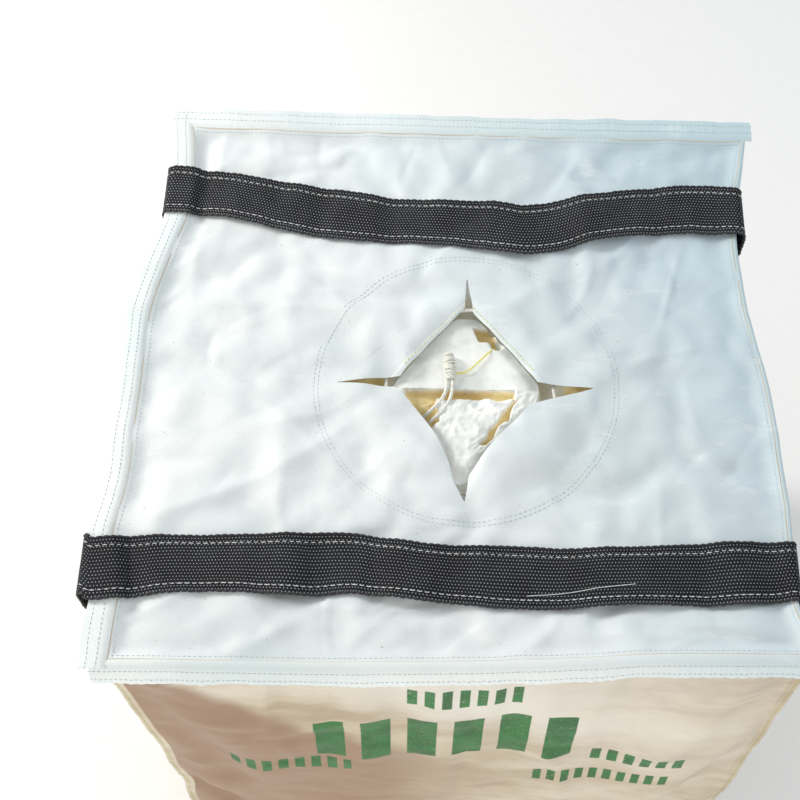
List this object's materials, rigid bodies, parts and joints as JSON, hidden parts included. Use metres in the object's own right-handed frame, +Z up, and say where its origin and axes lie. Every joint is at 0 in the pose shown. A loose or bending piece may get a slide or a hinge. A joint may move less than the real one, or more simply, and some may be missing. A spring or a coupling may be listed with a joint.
{
  "type": "bulk bag",
  "caption": "Square woven bulk bag standing upside down on its open mouth, with a star closure over a tied spout in the base, lift belts and hinged loops.",
  "frame": {"origin": "on the floor under the middle of the bag, in the plane of the mouth's rim", "axes": "+Z up from the mouth to the base, +X along the lift belts to the right, +Y from the printed front wall to the back wall"},
  "size_m": [0.987, 0.922, 1.1025],
  "materials": {
    "base_cloth": "satin",
    "wall_cloth": "satin",
    "hem_cloth": "satin",
    "belt_webbing": "matte",
    "spout_cloth": "satin",
    "white_cord": "matte",
    "yellow_twine": "matte"
  },
  "bodies": {
    "bag": {"base_panel": "base_cloth", "front_wall": "wall_cloth", "back_wall": "wall_cloth", "left_wall": "wall_cloth", "right_wall": "wall_cloth", "base_hem_front": "hem_cloth", "base_hem_back": "hem_cloth", "base_hem_left": "hem_cloth", "base_hem_right": "hem_cloth", "corner_seam_front_left": "wall_cloth", "corner_seam_front_right": "wall_cloth", "corner_seam_back_left": "wall_cloth", "corner_seam_back_right": "wall_cloth", "mouth_hem_front": "wall_cloth", "mouth_hem_back": "wall_cloth", "mouth_hem_left": "wall_cloth", "mouth_hem_right": "wall_cloth", "belt_front": "belt_webbing", "belt_back": "belt_webbing", "loop_leg_front_left": "belt_webbing", "loop_leg_front_right": "belt_webbing", "loop_leg_back_left": "belt_webbing", "loop_leg_back_right": "belt_webbing", "spout_flange": "spout_cloth", "spout_sleeve": "spout_cloth", "closure_cord": "white_cord"},
    "petal_front_left": {"petal_front_left": "base_cloth"},
    "petal_front_right": {"petal_front_right": "base_cloth"},
    "petal_back_left": {"petal_back_left": "base_cloth"},
    "petal_back_right": {"petal_back_right": "base_cloth"},
    "lifting_loop_front_left": {"lifting_loop_front_left": "belt_webbing"},
    "lifting_loop_front_right": {"lifting_loop_front_right": "belt_webbing"},
    "lifting_loop_back_left": {"lifting_loop_back_left": "belt_webbing"},
    "lifting_loop_back_right": {"lifting_loop_back_right": "belt_webbing"},
    "spout": {"spout_end": "spout_cloth", "spout_tie": "white_cord", "tie_tail_front": "white_cord", "tie_tail_side": "white_cord", "tie_twine": "yellow_twine"}
  },
  "joints": [
    {"name": "petal_front_left_fold", "type": "hinge", "parent": "bag", "child": "petal_front_left", "pos_m": [-0.089, -0.099, 1.1], "axis": [0.7071, -0.7071, 0], "range_deg": [0, 160]},
    {"name": "petal_front_right_fold", "type": "hinge", "parent": "bag", "child": "petal_front_right", "pos_m": [0.089, -0.099, 1.1], "axis": [0.7071, 0.7071, 0], "range_deg": [0, 160]},
    {"name": "petal_back_left_fold", "type": "hinge", "parent": "bag", "child": "petal_back_left", "pos_m": [-0.089, 0.079, 1.1], "axis": [-0.7071, -0.7071, 0], "range_deg": [0, 160]},
    {"name": "petal_back_right_fold", "type": "hinge", "parent": "bag", "child": "petal_back_right", "pos_m": [0.089, 0.079, 1.1], "axis": [-0.7071, 0.7071, 0], "range_deg": [0, 160]},
    {"name": "loop_front_left_swing", "type": "hinge", "parent": "bag", "child": "lifting_loop_front_left", "pos_m": [-0.448, -0.281, 0.0125], "axis": [0, -1, 0], "range_deg": [0, 170]},
    {"name": "loop_front_right_swing", "type": "hinge", "parent": "bag", "child": "lifting_loop_front_right", "pos_m": [0.448, -0.281, 0.0125], "axis": [0, 1, 0], "range_deg": [0, 170]},
    {"name": "loop_back_left_swing", "type": "hinge", "parent": "bag", "child": "lifting_loop_back_left", "pos_m": [-0.448, 0.281, 0.0125], "axis": [0, -1, 0], "range_deg": [0, 170]},
    {"name": "loop_back_right_swing", "type": "hinge", "parent": "bag", "child": "lifting_loop_back_right", "pos_m": [0.448, 0.281, 0.0125], "axis": [0, 1, 0], "range_deg": [0, 170]},
    {"name": "spout_pull", "type": "slide", "parent": "bag", "child": "spout", "axis": [0, 0, 1], "range_m": [0, 0.3], "deforming": ["spout_sleeve"]}
  ]
}
